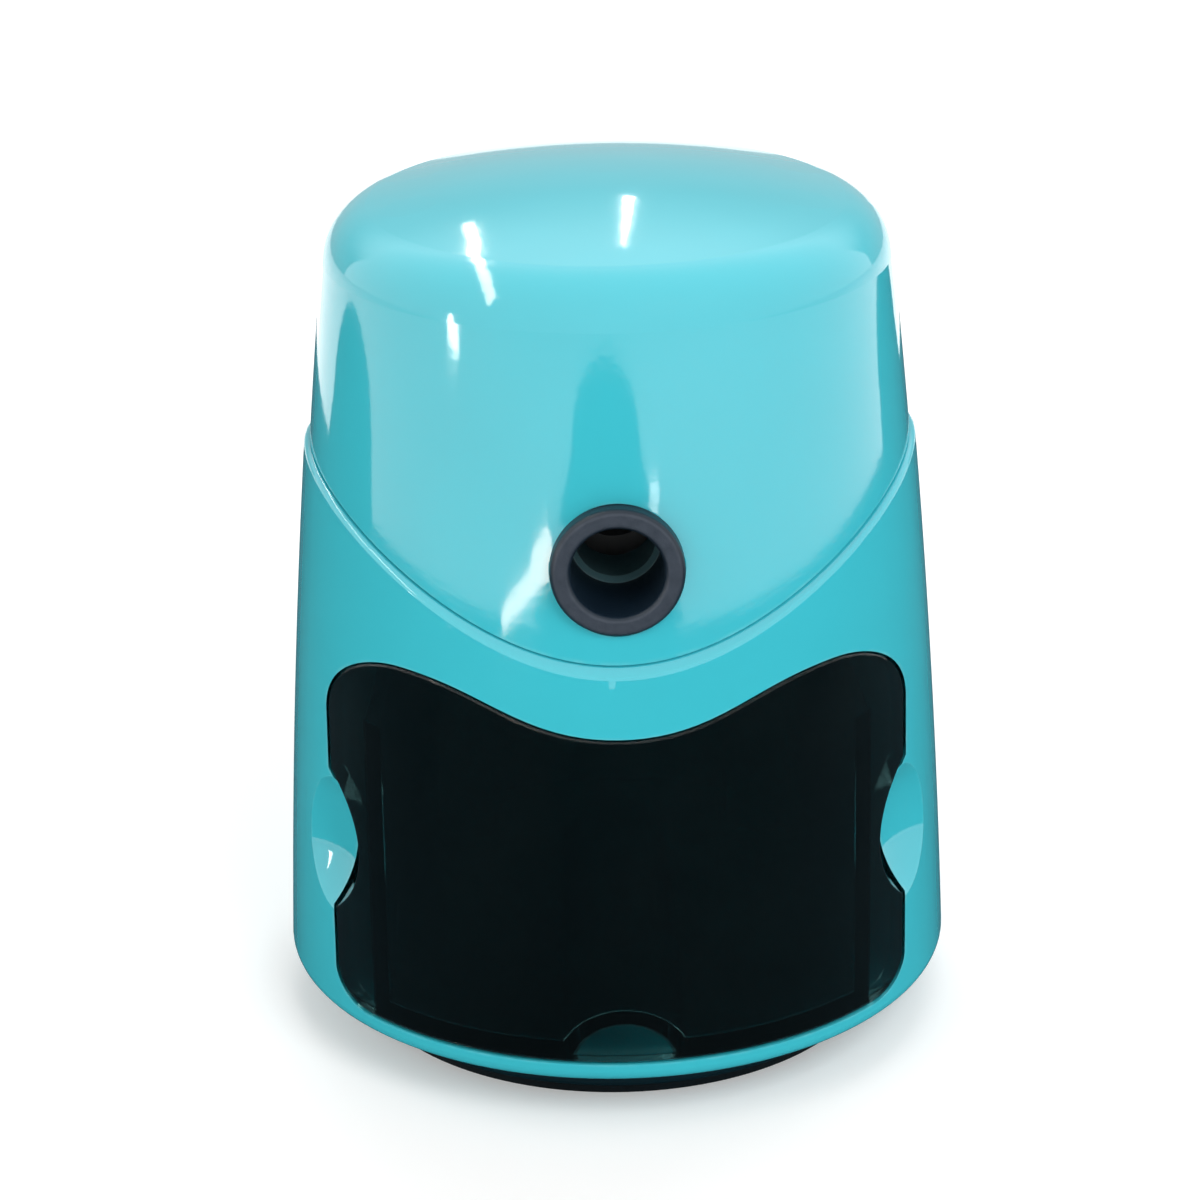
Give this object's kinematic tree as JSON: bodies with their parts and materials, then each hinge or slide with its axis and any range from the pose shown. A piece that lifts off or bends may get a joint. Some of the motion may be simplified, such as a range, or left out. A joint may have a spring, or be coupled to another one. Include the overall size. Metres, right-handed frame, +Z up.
{
  "type": "crank pencil sharpener",
  "caption": "Desktop crank pencil sharpener: round tapered teal body, black pencil port, smoked shavings drawer, rear crank turning a planetary helical cutter.",
  "frame": {"origin": "middle of the foot pad on the surface that the sharpener stands on", "axes": "+Z up, the pencil goes in along +Y from the front at -Y, +X to the right seen from the front"},
  "size_m": [0.0748, 0.1049, 0.0951],
  "materials": {
    "teal_plastic": "glossy moulded ABS",
    "smoked_plastic": "glossy smoked clear plastic",
    "charcoal_plastic": "satin moulded plastic",
    "black_plastic": "satin moulded plastic",
    "rubber": "matt",
    "slate_plastic": "satin moulded plastic",
    "grey_nylon": "satin moulded nylon",
    "steel": "ground",
    "zinc_screw": "zinc plated",
    "bronze": "sintered"
  },
  "bodies": {
    "housing": {"lower_housing": "teal_plastic", "upper_cover": "teal_plastic", "port_bezel": "charcoal_plastic", "base_plate": "black_plastic", "foot_pad": "rubber", "pencil_guide": "slate_plastic", "ring_gear": "grey_nylon", "mechanism_frame": "grey_nylon", "rear_bushing": "bronze", "base_screws": "zinc_screw", "cover_screws": "zinc_screw", "frame_screws": "zinc_screw", "guide_screws": "zinc_screw"},
    "crank": {"cutter_carrier": "grey_nylon", "drive_shaft": "steel", "shaft_clip": "steel", "crank_arm": "black_plastic", "crank_screw": "zinc_screw", "knob_pin": "steel"},
    "cutter": {"helical_cutter": "steel", "cutter_pinion": "steel", "cutter_spindle": "steel"},
    "knob": {"crank_knob": "charcoal_plastic"},
    "drawer": {"drawer": "smoked_plastic"}
  },
  "joints": [
    {"name": "crank_turn", "type": "hinge", "parent": "housing", "child": "crank", "pos_m": [0, 0.04, 0.0624], "axis": [0, 1, 0], "continuous": true},
    {"name": "cutter_spin", "type": "hinge", "parent": "crank", "child": "cutter", "pos_m": [0, -0.015, 0.07247], "axis": [0, -0.9816, 0.1908], "continuous": true},
    {"name": "knob_spin", "type": "hinge", "parent": "crank", "child": "knob", "pos_m": [0, 0.056, 0.0204], "axis": [0, 1, 0], "continuous": true},
    {"name": "drawer_slide", "type": "slide", "parent": "housing", "child": "drawer", "axis": [0, -1, 0], "range_m": [0, 0.06]}
  ],
  "couplings": [
    {"joint": "cutter_spin", "follows": "crank_turn", "ratio": 3}
  ]
}
